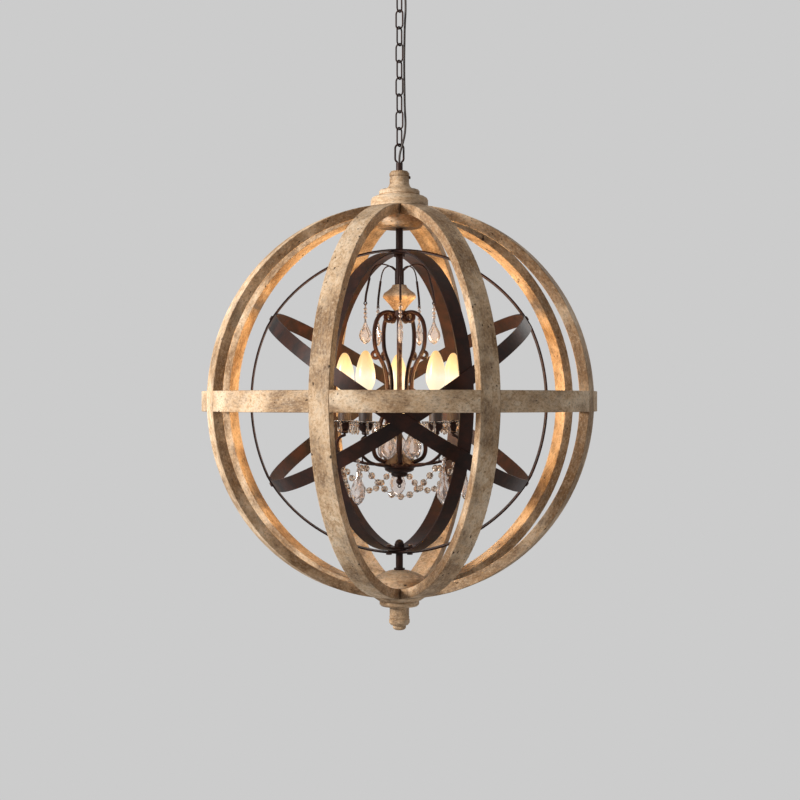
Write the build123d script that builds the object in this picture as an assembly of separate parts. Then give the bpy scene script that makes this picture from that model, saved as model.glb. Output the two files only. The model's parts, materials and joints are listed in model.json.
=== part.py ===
from build123d import *
import os
from math import cos, hypot, pi, radians, sin, sqrt, tan

# Orb chandelier: a slatted wooden orb around an iron armillary and a five-light crystal candelabra,
# hung by a chain and its supply cord from a ceiling canopy.
# Millimetres, +Z up. The origin is the centre of the crossbar's two screw holes, on the ceiling.
# Heights in the sections below are measured from the orb's centre, unless a comment says otherwise.

os.makedirs("parts", exist_ok=True)

# ---- clearances ------------------------------------------------------------------------------
joint_gap = 0.1          # between glued wooden faces
seat_gap = 0.2           # between stacked pieces that are screwed together
nest_gap = 0.4           # between iron bands that cross one inside another
bore_gap = 0.1           # radial, between a rod and the hole it fills
hang_gap = 0.3           # between a hanging piece and what it hangs on

# ---- wooden orb ------------------------------------------------------------------------------
orb_radius = 355.6
rib_width = 36.0
rib_depth = 18.0
rib_count = 8
rib_turn = 22.5          # azimuth of the first rib, from the front
rib_edge = 1.2           # worn edge radius
lap_depth = 9.0          # radial depth of the notch where a rib crosses the equator ring

# ---- turned wood on the axis, rises measured outwards from the ribs' outer faces at the poles ------
top_step_radius = 52.2
top_step_rise = 16.9
middle_step_radius = 36.8
middle_step_rise = 30.4
neck_radius = 17.7
cap_radius = 18.2
cap_base_rise = 51.9
cap_rise = 61.9
top_hub_radius = 43.0
top_hub_depth = 41.6      # from the ribs' outer faces to the hub blocks' inner ends
bottom_hub_radius = 48.0
bottom_hub_depth = 49.6
bottom_hub_dome = 17.0    # height of the lower block's dome over its straight side
bottom_step_radius = 49.0
lower_step_radius = 36.0
lower_step_rise = 5.4
lower_neck_rise = 16.4
bulb_ring_radius = 18.8
bulb_ring_rise = 35.9
tip_base_rise = 50.9
tip_radius = 12.0
tip_rise = 59.4

# ---- rods ------------------------------------------------------------------------------------
rod_radius = 6.5
rod_bore = 4.3
slim_rod_radius = 4.7    # the main rod's slimmer part, under the wooden bead
slim_rod_bore = 3.2
rod_bottom = -119.8      # the main rod's lower end, in the candelabra's hub
lower_rod_inset = 20.0   # wood left under the lower rod in the bottom finial
rod_flange_radius = 10.0
rod_flange_height = 3.0

# ---- iron armillary --------------------------------------------------------------------------
band_width = 25.0
band_thickness = 2.5
hoop_inset = 63.1        # from the ribs' inner faces to the middle of the cross hoop's thickness
hoop_flattening = 6.5    # how much nearer the axis the cross hoop's flattened sides are
inner_hoop_near_azimuths = (22.5, -28.0)
inner_hoop_far_azimuths = (209.0, 154.0)
tilt_angle = 33.0        # the tilted hoops' long axes from the horizontal
flat_angle = 29.5        # the cross hoop's flatter sides reach this far up and down
tilt_roll = 6.0          # each tilted hoop's turn about its own long axis
tilt_bulges = (5.3, 2.1)     # how far they stand out beyond the cross hoop's radius, front and back
hoop_screw_radius = 2.4
hoop_screw_head_radius = 4.6
hoop_screw_head_height = 3.0
pole_plate_length = 60.0
pole_plate_thickness = 3.0
pole_bolt_offset = 19.0
dome_nut_radius = 9.0
dome_nut_height = 5.0
dome_radius = 8.0
rod_nut_flats = 17.0
rod_nut_height = 5.0

# ---- chain, loops and cord -------------------------------------------------------------------
link_wire = 3.0
link_length = 36.8
link_width = 17.5
link_count = 9
chain_turn = 36.0        # the links' turn about the axis, out of line with the loops
loop_wire = 3.6
loop_length = 37.0
loop_width = 19.0
loop_stem_radius = 6.2
loop_stem_height = 15.0
loop_sink = 1.0          # depth of each eye in its stem
canopy_stem_radius = 9.0
cord_diameter = 4.0
cord_bore = 3.0          # radius of the way through each loop's stem
spigot_length = 14.0

# ---- ceiling fitting, heights from the ceiling -------------------------------------------------
crossbar_length = 108.0
crossbar_width = 22.0
crossbar_thickness = 2.0
crossbar_offset = 10.0   # depth of the crossbar's stepped middle
mount_spacing = 88.9
mount_hole_radius = 2.4
canopy_radius = 63.5
canopy_depth = 26.0
canopy_wall = 1.6
canopy_rim = 5.0
nipple_radius = 4.8
nipple_nut_flats = 14.0
nipple_nut_height = 3.0

# ---- candelabra ------------------------------------------------------------------------------
arm_count = 5
arm_azimuth = 0.0        # azimuth of the first arching arm and cage bar
candle_azimuth = 36.0    # azimuth of the first candle arm
collar_radius = 8.3
collar_height = 27.3
bead_drop = 110.0        # from the cross hoop's upper pole down to the wooden bead's lower end
bead_height = 46.8
bead_radius = 30.0
cage_collar_radius = 11.0
cage_collar_height = 9.0
cage_bar_radius = 3.8
bar_radius = 2.7         # round bar of the candle arms
wire_radius = 1.2        # thin part of the arching arms
leaf_radius = 2.1        # their thicker lower part
inner_curl_radius = 7.5
outer_curl_radius = 6.0
cage_foot_height = -109.0
cage_waist = 23.0        # the cage bars' distance from the axis at their narrowest
cage_waist_height = 10.0
cage_belly = 50.0        # and at their widest, low down
arm_root_height = -115.0
root_radius = 18.0       # how near the axis the bars end, inside the hub
hub_top = -95.0
hub_radius = 32.0
hub_step_radius = 15.0
hub_bottom = -137.0
petal_count = 10
petal_radius = 3.0
ball_radius = 6.0
finial_pin_radius = 3.0
finial_pin_length = 9.0
hanging_ring_height = -44.0
hanging_ring_radius = 34.5
hanging_wire = 1.3
candle_radius = 105.0    # the candles' distance from the axis
candle_arm_end = -62.0
stud_radius = 2.2
stud_top = -24.0
cup_bottom = -59.0
cup_top = -38.0
cup_radius = 14.0
bobeche_radius = 26.0
bobeche_thickness = 2.4
sleeve_radius = 12.0
sleeve_wall = 1.2
sleeve_top = 10.0
holder_radius = 9.6
bulb_radius = 17.5
bulb_seat = 12.0         # height of the joint between the bulb's glass and its screw base
bulb_top = 89.0
bulb_base_radius = 6.9
bulb_base_length = 24.0

# ---- crystals --------------------------------------------------------------------------------
upper_drop_radius = 65.0     # the upper drops' distance from the axis
upper_drop_fall = 64.8       # from the arching arms' collar down to the wires that they hang on
upper_pear = (24.0, 43.0, 9.0)       # width, height and thickness
upper_bead_count = 3
lower_drop_reach = 22.0      # the lower drops' distance outwards from the candles
lower_drop_pivot = -96.0
lower_pear = (31.0, 64.0, 11.0)
lower_bead_count = 2
inner_pear = (36.0, 54.0, 10.0)
ring_radius = 2.6            # hanging rings, to the middle of their wire
ring_wire = 0.7              # radius of their wire
eye_wire = 1.0               # radius of the wire of the eyes that they hang in
bead_step = 7.2
small_bead = 3.3
pear_neck = 2.4              # plain wire between the lowest bead and the pear
swag_bead = 6.2
swag_bead_count = 11
swag_wire = 0.8
swag_hook_reach = 9.0        # distance of the swags' hooks outwards from the candles
swag_hook_height = -105.0
swag_hook_ball = 2.2
swag_sag = 57.0
swag_margin = 9.5            # from a hook to the first bead
rim_drop_count = 8
rim_drop_inset = 2.8
rim_drop_length = 19.0
rim_drop_radius = 3.4
rim_pin = 0.6


def place(azimuth, radius=0.0, height=0.0):
    """A frame at a place around the axis: X along the radius, Z up. Azimuth 0 is the front (-Y)."""
    turn = radians(azimuth)
    origin = (radius * sin(turn), -radius * cos(turn), height)
    return Plane(origin=origin, x_dir=(sin(turn), -cos(turn), 0), z_dir=(0, 0, 1))


def around(count, first):
    """Azimuths of evenly spaced copies."""
    return [first + index * 360 / count for index in range(count)]


def turned(points, bore=0.0):
    """A solid of revolution about the axis from (radius, height) points, with a hole through it."""
    outline = [(radius, 0, height) for radius, height in points]
    outline = [(0, 0, points[0][1])] + outline + [(0, 0, points[-1][1])]
    solid = revolve(make_face(Polyline(*outline, close=True)), Axis.Z)
    if bore:
        heights = [height for radius, height in points]
        length = max(heights) - min(heights)
        solid -= Pos(0, 0, (max(heights) + min(heights)) / 2) * Cylinder(bore, 2 * length)
    return solid


def bend_radii(points):
    """The largest even arc that each corner of a bent bar has room for."""
    radii = []
    for before, corner, after in zip(points, points[1:], points[2:]):
        first = Vector(*corner) - Vector(*before)
        second = Vector(*after) - Vector(*corner)
        turn = radians(first.get_angle(second))
        radii.append(0.45 * min(first.length, second.length) / tan(turn / 2))
    return radii


def bent_bar(points, radius):
    """A round bar along straight runs that tangent arcs join."""
    path = FilletPolyline(*points, radius=bend_radii(points))
    section = Plane(origin=path @ 0, z_dir=path % 0) * Circle(radius)
    return sweep(section, path=path)


def radial_bar(points, radius):
    """A bent bar in the upright plane through the axis, from (radius, height) points."""
    return bent_bar([(distance, 0, height) for distance, height in points], radius)


def tube(outer, inner, bottom, top):
    """An upright tube on the axis."""
    middle = Pos(0, 0, (bottom + top) / 2)
    return middle * (Cylinder(outer, top - bottom) - Cylinder(inner, 2 * (top - bottom)))


def hexagon_nut(flats, bore, bottom, top):
    """A hexagonal nut on the axis."""
    body = extrude(Pos(0, 0, bottom) * RegularPolygon(flats / 2, 6, major_radius=False), top - bottom)
    return body - Pos(0, 0, (bottom + top) / 2) * Cylinder(bore, 2 * (top - bottom))


def save(name, *shapes):
    """Write one node: one solid, or a group of like solids, lowered from the ceiling."""
    solids = [solid for shape in shapes for solid in shape.solids()]
    node = Compound(children=solids) if len(solids) > 1 else solids[0]
    export_step(Pos(0, 0, -orb_drop) * node, f"parts/{name}.step")


# ---- levels of the turned wood and the armillary ---------------------------------------------------
top_step_height = orb_radius + top_step_rise
middle_step_height = orb_radius + middle_step_rise
cap_base_height = orb_radius + cap_base_rise
cap_height = orb_radius + cap_rise
top_hub_height = orb_radius - top_hub_depth
bottom_hub_height = orb_radius - bottom_hub_depth
lower_step_height = orb_radius + lower_step_rise
lower_neck_height = orb_radius + lower_neck_rise
bulb_ring_height = orb_radius + bulb_ring_rise
tip_base_height = orb_radius + tip_base_rise
tip_height = orb_radius + tip_rise
rib_inner = orb_radius - rib_depth
hoop_radius = rib_inner - hoop_inset
hoop_waist = hoop_radius - hoop_flattening
bead_bottom = hoop_radius - bead_drop

# ---- levels of the chain on the axis -------------------------------------------------------------
stem_bottom = cap_height + seat_gap
loop_bottom = stem_bottom + loop_stem_height - loop_sink
loop_bend_height = loop_bottom + loop_width / 2
link_pitch = link_length - 2 * link_wire - hang_gap
first_link = loop_bottom + loop_length - loop_wire - hang_gap - link_wire + link_length / 2
last_link = first_link + (link_count - 1) * link_pitch
canopy_loop_bottom = last_link + link_length / 2 - link_wire - hang_gap - loop_wire
canopy_loop_middle = canopy_loop_bottom + loop_length / 2
canopy_stem_bottom = canopy_loop_bottom + loop_length - loop_sink
canopy_face = canopy_stem_bottom + loop_stem_height
orb_drop = canopy_face + canopy_depth    # the ceiling's height above the orb's centre
nipple_bottom = canopy_face - loop_stem_height / 2

# ---- wooden orb --------------------------------------------------------------------------------
lap_radius = orb_radius - lap_depth
rib_half = rib_width / 2
hole_radius = rod_radius + bore_gap


def rib():
    """A half-circle slat with mitred ends, notched on its inside for the equator ring."""
    arch = Plane.XZ * (Circle(orb_radius) - Circle(rib_inner))
    slat = extrude(arch, amount=rib_half, both=True)
    slat = fillet(slat.edges().filter_by(GeomType.CIRCLE), rib_edge)
    reach = 2 * orb_radius
    half_angle = radians(180 / rib_count)
    tip = joint_gap / sin(half_angle)
    spread = (reach - tip) * tan(half_angle)
    wedge = Polyline((tip, 0), (reach, spread), (reach, -spread), close=True)
    slat &= extrude(make_face(wedge), amount=reach, both=True)
    slat -= Cylinder(hole_radius, 2 * reach)
    notch = Box(lap_radius + joint_gap, 2 * rib_width, rib_width + 2 * joint_gap)
    return slat - Pos((lap_radius + joint_gap) / 2, 0, 0) * notch


def equator_ring():
    """The level hoop, notched on its outside where each rib crosses it."""
    ring = Cylinder(orb_radius, rib_width) - Cylinder(rib_inner, 2 * rib_width)
    ring = fillet(ring.edges().filter_by(GeomType.CIRCLE), rib_edge)
    for azimuth in around(rib_count, rib_turn):
        notch = Pos(lap_radius + orb_radius / 2, 0, 0) * Box(orb_radius, rib_width + 2 * joint_gap, rib_width)
        ring -= place(azimuth) * notch
    return ring


rib_shape = rib()
for number, azimuth in enumerate(around(rib_count, rib_turn), start=1):
    save(f"rib_{number}", place(azimuth) * rib_shape)
save("equator_ring", equator_ring())

# The ribs' flat outer faces stand a little proud of a sphere at their edges.
rib_crown = hypot(orb_radius, rib_half) + joint_gap
rib_seat = rib_inner - joint_gap


def seat_height(radius, sphere):
    """Height of a sphere about the orb's centre at a distance from the axis."""
    return sqrt(sphere ** 2 - radius ** 2)


def top_finial():
    """The stepped and necked top piece, dished underneath to sit on the ribs."""
    rim = seat_height(top_step_radius, rib_crown)
    outline = [
        (top_step_radius, rim - joint_gap),
        (top_step_radius, top_step_height - 8),
        (top_step_radius - 2, top_step_height - 4),
        (top_step_radius - 7, top_step_height - 1),
        (middle_step_radius + 3, top_step_height),
        (middle_step_radius - 1.5, top_step_height + 0.5),
        (middle_step_radius - 1.5, top_step_height + 2),
        (middle_step_radius, top_step_height + 3),
        (middle_step_radius, middle_step_height - 5),
        (middle_step_radius - 2, middle_step_height - 2.5),
        (neck_radius + 6, middle_step_height),
        (neck_radius + 2, middle_step_height + 4),
        (neck_radius, middle_step_height + 10),
        (neck_radius, cap_base_height - 3),
        (neck_radius - 0.8, cap_base_height - 1),
        (neck_radius - 0.8, cap_base_height),
        (cap_radius, cap_base_height + 1.5),
        (cap_radius, cap_height - 4),
        (cap_radius - 3, cap_height),
    ]
    return turned(outline, hole_radius) - Sphere(rib_crown)


def top_hub():
    """The round block under the ribs at the top, with a rounded lower edge."""
    rim = seat_height(top_hub_radius, rib_seat)
    outline = [
        (top_hub_radius - 9, top_hub_height),
        (top_hub_radius - 3, top_hub_height + 2.5),
        (top_hub_radius, top_hub_height + 8),
        (top_hub_radius, rim),
        (top_hub_radius, rib_inner),
    ]
    block = turned(outline) & Sphere(rib_seat)
    return block - Pos(0, 0, rib_inner) * Cylinder(hole_radius, 4 * top_hub_depth)


def bottom_hub():
    """The domed block over the ribs at the bottom."""
    outline = [
        (bottom_hub_radius, -rib_inner),
        (bottom_hub_radius, -bottom_hub_height - bottom_hub_dome),
        (bottom_hub_radius * 0.94, -bottom_hub_height - bottom_hub_dome * 0.76),
        (bottom_hub_radius * 0.71, -bottom_hub_height - bottom_hub_dome * 0.41),
        (bottom_hub_radius * 0.42, -bottom_hub_height - bottom_hub_dome * 0.12),
        (rod_radius + 4, -bottom_hub_height),
    ]
    block = turned(outline) & Sphere(rib_seat)
    return block - Pos(0, 0, -rib_inner) * Cylinder(hole_radius, 4 * bottom_hub_depth)


def bottom_finial():
    """The stepped drop under the ribs, blind-bored for the lower rod."""
    rim = -seat_height(bottom_step_radius, rib_crown)
    outline = [
        (tip_radius * 0.55, -tip_height),
        (tip_radius * 0.85, -tip_height + 1.5),
        (tip_radius, -tip_height + 4),
        (tip_radius, -tip_base_height),
        (bulb_ring_radius - 3, -tip_base_height + 1),
        (bulb_ring_radius, -tip_base_height + 5),
        (bulb_ring_radius, -bulb_ring_height - 4),
        (bulb_ring_radius - 1.5, -bulb_ring_height - 3),
        (bulb_ring_radius - 0.4, -bulb_ring_height),
        (neck_radius, -bulb_ring_height + 2),
        (neck_radius, -lower_neck_height - 3),
        (neck_radius + 3, -lower_neck_height),
        (lower_step_radius - 3, -lower_neck_height + 1),
        (lower_step_radius, -lower_neck_height + 4),
        (lower_step_radius, -lower_step_height - 2),
        (lower_step_radius - 1.5, -lower_step_height),
        (bottom_step_radius - 9, -lower_step_height + 1),
        (bottom_step_radius - 2, -lower_step_height + 6),
        (bottom_step_radius, rim + joint_gap),
    ]
    blind = tube(hole_radius, 0, -tip_height + lower_rod_inset - joint_gap, 0)
    return turned(outline) - Sphere(rib_crown) - blind


save("top_finial", top_finial())
save("top_hub_block", top_hub())
save("bottom_hub_block", bottom_hub())
save("bottom_finial", bottom_finial())

# ---- iron armillary ----------------------------------------------------------------------------
half_band = band_width / 2
half_skin = band_thickness / 2
nest_step = band_thickness + nest_gap
screw_hole = hoop_screw_radius + bore_gap
reach = 2 * orb_radius


def flattened_face(grow):
    """The cross hoop's outline at the front: round top and bottom, flatter sides between its screws."""
    corner = hoop_radius + grow
    side = hoop_waist + grow
    across = corner * cos(radians(flat_angle))
    up = corner * sin(radians(flat_angle))
    right = ThreePointArc((across, 0, -up), (side, 0, 0), (across, 0, up))
    top = ThreePointArc((across, 0, up), (0, 0, corner), (-across, 0, up))
    left = ThreePointArc((-across, 0, up), (-side, 0, 0), (-across, 0, -up))
    bottom = ThreePointArc((-across, 0, -up), (0, 0, -corner), (across, 0, -up))
    return make_face([right, top, left, bottom])


def screw_place(side, rise, radius):
    """A frame on the cross hoop's screw axis, Z pointing outwards."""
    outwards = Vector(side * cos(radians(tilt_angle)), 0, rise * sin(radians(tilt_angle)))
    return Plane(origin=outwards * radius, x_dir=(0, 1, 0), z_dir=outwards)


screw_corners = [(side, rise) for side in (-1, 1) for rise in (-1, 1)]


def cross_hoop():
    """The outermost iron hoop, across the front view, drilled for the rods, bolts and screws."""
    hoop = extrude(flattened_face(half_skin) - flattened_face(-half_skin), amount=half_band, both=True)
    hoop -= Cylinder(hole_radius, reach)
    for side in (-1, 1):
        hoop -= Pos(side * pole_bolt_offset, 0, -hoop_radius) * Cylinder(screw_hole, 4 * band_thickness)
    for side, rise in screw_corners:
        hoop -= screw_place(side, rise, hoop_radius) * Cylinder(screw_hole, 4 * band_thickness)
    return hoop


def inner_hoop(radius, near_azimuth, far_azimuth):
    """An upright hoop whose two halves are set at slightly different azimuths."""
    arch = Plane.XZ * (Circle(radius + half_skin) - Circle(radius - half_skin))
    half = extrude(arch, amount=half_band, both=True) & Pos(reach / 2, 0, 0) * Box(reach, reach, reach)
    poles = Cylinder(half_band, reach) & (Sphere(radius + half_skin) - Sphere(radius - half_skin))
    hoop = place(near_azimuth) * half + place(far_azimuth) * half + poles
    return hoop - Cylinder(hole_radius, reach)


def tilted_hoop(side, bow):
    """A hoop screwed to the cross hoop at both ends of its long axis, lower in front."""
    axis = Vector(cos(radians(tilt_angle)), 0, side * sin(radians(tilt_angle)))
    bow_dir = Vector(0, 1, 0).rotate(Axis((0, 0, 0), axis), tilt_roll)
    frame = Plane(origin=(0, 0, 0), x_dir=axis, z_dir=axis.cross(bow_dir))
    end = hoop_radius - nest_step
    outline = Ellipse(end + half_skin, bow + half_skin) - Ellipse(end - half_skin, bow - half_skin)
    hoop = extrude(frame * outline, amount=half_band, both=True)
    for way in (-1, 1):
        hoop -= screw_place(way, way * side, end) * Cylinder(screw_hole, 4 * band_thickness)
    return hoop


def pan_screw(outside, inside):
    """A screw along Z with its head on one face and its nut under the other."""
    head = tube(hoop_screw_head_radius, 0, outside, outside + hoop_screw_head_height)
    head = fillet(head.edges().filter_by(GeomType.CIRCLE).sort_by(Axis.Z)[-1], hoop_screw_head_height / 2)
    shank_end = inside - hoop_screw_head_height - joint_gap
    shank = tube(hoop_screw_radius, 0, shank_end, outside)
    nut = hexagon_nut(2 * hoop_screw_head_radius, screw_hole, inside - hoop_screw_head_height, inside)
    return [head + shank, nut]


def hoop_screws():
    """The four screws through the cross hoop and the tilted hoops, and the two bolts at the lower pole."""
    pieces = []
    outside = half_skin + joint_gap
    inside = -nest_step - half_skin - joint_gap
    for side, rise in screw_corners:
        frame = screw_place(side, rise, hoop_radius)
        pieces += [frame * piece for piece in pan_screw(outside, inside)]
    far_edge = pole_bolt_offset + hoop_screw_head_radius
    near_edge = pole_bolt_offset - hoop_screw_head_radius
    plate_face = seat_height(far_edge, plate_seat - pole_plate_thickness) - seat_gap
    hoop_face = seat_height(near_edge, hoop_radius + half_skin) + seat_gap
    for side in (-1, 1):
        frame = Pos(side * pole_bolt_offset, 0, 0)
        pieces += [frame * piece for piece in pan_screw(-plate_face, -hoop_face)]
    return pieces


plate_seat = hoop_radius - 2 * nest_step - half_skin - nest_gap


def pole_plate():
    """The short curved strap inside the lower pole, under the domed nut."""
    strap = Plane.XZ * (Circle(plate_seat) - Circle(plate_seat - pole_plate_thickness))
    plate = extrude(strap, amount=half_band, both=True)
    plate &= Pos(0, 0, -plate_seat) * Box(pole_plate_length, reach, plate_seat)
    plate -= Pos(0, 0, -plate_seat) * Cylinder(hole_radius, plate_seat)
    for side in (-1, 1):
        plate -= Pos(side * pole_bolt_offset, 0, -plate_seat) * Cylinder(screw_hole, plate_seat)
    return plate


nut_face = -plate_seat + pole_plate_thickness + 2 * seat_gap


def dome_nut():
    """The blind nut that closes the lower rod's top."""
    body = tube(dome_nut_radius, 0, nut_face, nut_face + dome_nut_height)
    dome = Sphere(dome_radius) & Pos(0, 0, dome_radius) * Box(reach, reach, 2 * dome_radius)
    blind = tube(hole_radius, 0, nut_face - seat_gap, nut_face + dome_nut_height)
    return body + Pos(0, 0, nut_face + dome_nut_height) * dome - blind


save("cross_hoop", cross_hoop())
for number, near, far in zip((1, 2), inner_hoop_near_azimuths, inner_hoop_far_azimuths):
    save(f"inner_hoop_{number}", inner_hoop(hoop_radius - number * nest_step, near, far))
for number, side, bulge in zip((1, 2), (-1, 1), tilt_bulges):
    save(f"tilted_hoop_{number}", tilted_hoop(side, hoop_radius + bulge))
save("hoop_screws", *hoop_screws())
save("pole_plate", pole_plate())
save("dome_nut", dome_nut())
save("rod_nut", hexagon_nut(rod_nut_flats, hole_radius, plate_seat - rod_nut_height, plate_seat))

# ---- rods --------------------------------------------------------------------------------------
rod_top = cap_height - seat_gap
lower_rod_top = nut_face + dome_nut_height - joint_gap
slim_rod = tube(slim_rod_radius, slim_rod_bore, rod_bottom, bead_bottom)
save("main_rod", tube(rod_radius, rod_bore, bead_bottom, rod_top) + slim_rod)
flange_bottom = -bottom_hub_height + seat_gap
flange = tube(rod_flange_radius, 0, flange_bottom, flange_bottom + rod_flange_height)
save("lower_rod", tube(rod_radius, 0, -tip_height + lower_rod_inset, lower_rod_top) + flange)

# ---- chain, loops and cord -----------------------------------------------------------------------


def eye(length, width, wire):
    """An upright oval of round wire in the XZ plane, centred."""
    bend = (width - wire) / 2
    straight = length - width
    ring = Rot(90, 0, 0) * Torus(bend, wire / 2)
    upper = Pos(0, 0, straight / 2) * (ring & Pos(0, 0, width / 2) * Box(2 * width, 2 * wire, width))
    sides = [Pos(side * bend, 0, 0) * Cylinder(wire / 2, straight) for side in (-1, 1)]
    return upper + Rot(180, 0, 0) * upper + sides[0] + sides[1]


loop_eye = eye(loop_length, loop_width, loop_wire)


def fixture_loop():
    """The eye screwed into the rod's top, with a way through it for the cord."""
    eye_part = Pos(0, 0, loop_bottom + loop_length / 2) * loop_eye
    stem = tube(loop_stem_radius, 0, stem_bottom, stem_bottom + loop_stem_height)
    spigot = tube(rod_bore - bore_gap, 0, stem_bottom - spigot_length, stem_bottom)
    return eye_part + stem + spigot - tube(cord_bore, 0, stem_bottom - reach, loop_bend_height)


def canopy_loop():
    """The eye under the canopy, screwed onto the nipple."""
    eye_part = Pos(0, 0, canopy_loop_middle) * loop_eye
    stem = tube(canopy_stem_radius, 0, canopy_stem_bottom, canopy_face - seat_gap)
    thread = tube(nipple_radius + bore_gap, 0, nipple_bottom - seat_gap, canopy_face)
    cord_way = tube(cord_bore, 0, canopy_loop_middle + (loop_length - loop_width) / 2, canopy_face)
    return eye_part + stem - thread - cord_way


def chain_links():
    """Oval links, every second one turned a quarter."""
    link = eye(link_length, link_width, link_wire)
    links = []
    for index in range(link_count):
        turn = 90 * ((index + 1) % 2) - chain_turn
        links.append(Pos(0, 0, first_link + index * link_pitch) * Rot(0, 0, turn) * link)
    return links


# The supply cord runs out of the canopy loop, down the right of the chain and into the rod.
cord_span = canopy_stem_bottom - stem_bottom
cord_beside_chain = [
    (9.2, 1.2, 0.655),
    (8.6, 1.8, 0.54),
    (9.3, 1.0, 0.425),
]
cord_route = [
    (0.0, 0.0, canopy_stem_bottom + 35.0),
    (-0.4, 0.3, canopy_stem_bottom + 15.0),
    (0.2, -0.4, canopy_stem_bottom - 5.0),
    (4.6, -8.2, canopy_stem_bottom - 19.0),
    (10.6, -7.8, canopy_stem_bottom - 38.0),
    (11.4, -2.6, canopy_stem_bottom - 62.0),
    (9.8, 0.6, canopy_stem_bottom - 88.0),
    *[(x, y, stem_bottom + part * cord_span) for x, y, part in cord_beside_chain],
    (9.8, 0.6, stem_bottom + 113.0),
    (11.4, -2.6, stem_bottom + 88.0),
    (9.6, -7.0, stem_bottom + 64.3),
    (4.8, -7.6, stem_bottom + 45.3),
    (0.3, -3.2, stem_bottom + 31.3),
    (-0.2, 0.3, stem_bottom + 15.3),
    (0.3, 0.0, stem_bottom - 1.7),
    (0.0, 0.2, stem_bottom - 17.7),
]


def supply_cord():
    """The cord as a round tube, with its volume checked against its length."""
    radii = bend_radii(cord_route)
    path = FilletPolyline(*cord_route, radius=radii)
    cord = bent_bar(cord_route, cord_diameter / 2)
    ideal = pi * (cord_diameter / 2) ** 2 * path.length
    print("cord length", round(path.length, 1), "least radius", round(min(radii), 1))
    print("cord volume over section times length", round(cord.volume / ideal, 4))
    return cord


save("fixture_loop", fixture_loop())
save("chain_links", *chain_links())
save("canopy_loop", canopy_loop())
save("supply_cord", supply_cord())

# ---- ceiling fitting -----------------------------------------------------------------------------


def crossbar():
    """The strap screwed to the ceiling box, stepped down in its middle for the nipple."""
    half = crossbar_length / 2
    foot = mount_spacing / 2 - crossbar_width / 2
    upper = [(-half, 0), (-foot, 0), (-foot + crossbar_offset, -crossbar_offset)]
    upper += [(-x, z) for x, z in reversed(upper)]
    lower = [(x, z - crossbar_thickness) for x, z in reversed(upper)]
    outline = [(x, 0, orb_drop + z) for x, z in upper + lower]
    strap = extrude(make_face(Polyline(*outline, close=True)), amount=crossbar_width / 2, both=True)
    for side in (-1, 1):
        strap -= Pos(side * mount_spacing / 2, 0, orb_drop) * Cylinder(mount_hole_radius, crossbar_offset)
    return strap - Pos(0, 0, orb_drop) * Cylinder(nipple_radius + bore_gap, 4 * crossbar_offset)


def dish(radius, rim, depth, height):
    """A shallow round dish hanging from a level, rim up."""
    edge = height - rim
    low = height - depth
    flat = 3 * nipple_radius
    bulge = (radius + flat) / 2 + rim
    sides = Polyline((flat, 0, low), (0, 0, low), (0, 0, height), (radius, 0, height), (radius, 0, edge))
    curve = ThreePointArc((radius, 0, edge), (bulge, 0, low + rim / 2), (flat, 0, low))
    return revolve(make_face([*sides.edges(), curve]), Axis.Z)


def canopy():
    """The cover over the ceiling box, hollow, with a hole for the nipple."""
    outer = dish(canopy_radius, canopy_rim, canopy_depth, orb_drop)
    inner = dish(canopy_radius - canopy_wall, canopy_rim, canopy_depth - canopy_wall, orb_drop)
    return outer - inner - Pos(0, 0, canopy_face) * Cylinder(nipple_radius + bore_gap, canopy_depth)


crossbar_top = orb_drop - crossbar_offset
crossbar_under = crossbar_top - crossbar_thickness
nipple_hole = nipple_radius + bore_gap
upper_nut_bottom = crossbar_top + seat_gap
lower_nut_top = crossbar_under - seat_gap
save("crossbar", crossbar())
save(
    "nipple_nuts",
    hexagon_nut(nipple_nut_flats, nipple_hole, upper_nut_bottom, upper_nut_bottom + nipple_nut_height),
    hexagon_nut(nipple_nut_flats, nipple_hole, lower_nut_top - nipple_nut_height, lower_nut_top),
)
save("canopy_nipple", tube(nipple_radius, cord_bore, nipple_bottom, upper_nut_bottom + nipple_nut_height + 1))
save("canopy", canopy())

# ---- candelabra ----------------------------------------------------------------------------------
arm_azimuths = around(arm_count, arm_azimuth)
candle_azimuths = around(arm_count, candle_azimuth)
collar_bottom = bead_bottom + bead_height + seat_gap
collar_top = collar_bottom + collar_height
upper_drop_pivot = collar_top - upper_drop_fall
lower_drop_radius = candle_radius + lower_drop_reach
swag_hook_radius = candle_radius + swag_hook_reach
cage_collar_top = bead_bottom - seat_gap
slim_hole_radius = slim_rod_radius + bore_gap
ring_drop = ring_radius - ring_wire - hang_gap    # a hanging ring's centre below the wire that holds it


def spot(shape, radius, height, azimuth=0.0):
    """A shape put down at a distance from the axis."""
    return place(azimuth, radius, height) * shape


def wooden_bead():
    """The turned vase on the rod between the arching arms and the cage."""
    low = bead_bottom
    top = bead_bottom + bead_height
    outline = [
        (10, low),
        (bead_radius * 0.38, low + 2),
        (bead_radius * 0.6, low + 11),
        (bead_radius * 0.85, low + 19),
        (bead_radius * 0.93, low + 21.5),
        (bead_radius, low + 24),
        (bead_radius, low + 27),
        (bead_radius * 0.96, low + 30),
        (bead_radius * 0.93, low + 30.8),
        (bead_radius * 0.92, low + 32),
        (bead_radius * 0.7, low + 36.5),
        (bead_radius * 0.5, low + 41.5),
        (bead_radius * 0.44, top - 2),
        (bead_radius * 0.42, top),
    ]
    return turned(outline, hole_radius)


def hanging_eye(radius, height):
    """An upright eye in the plane through the axis, with the middle of its lowest wire at a height."""
    return Pos(radius, 0, height + ring_radius) * Rot(90, 0, 0) * Torus(ring_radius, eye_wire)


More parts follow.
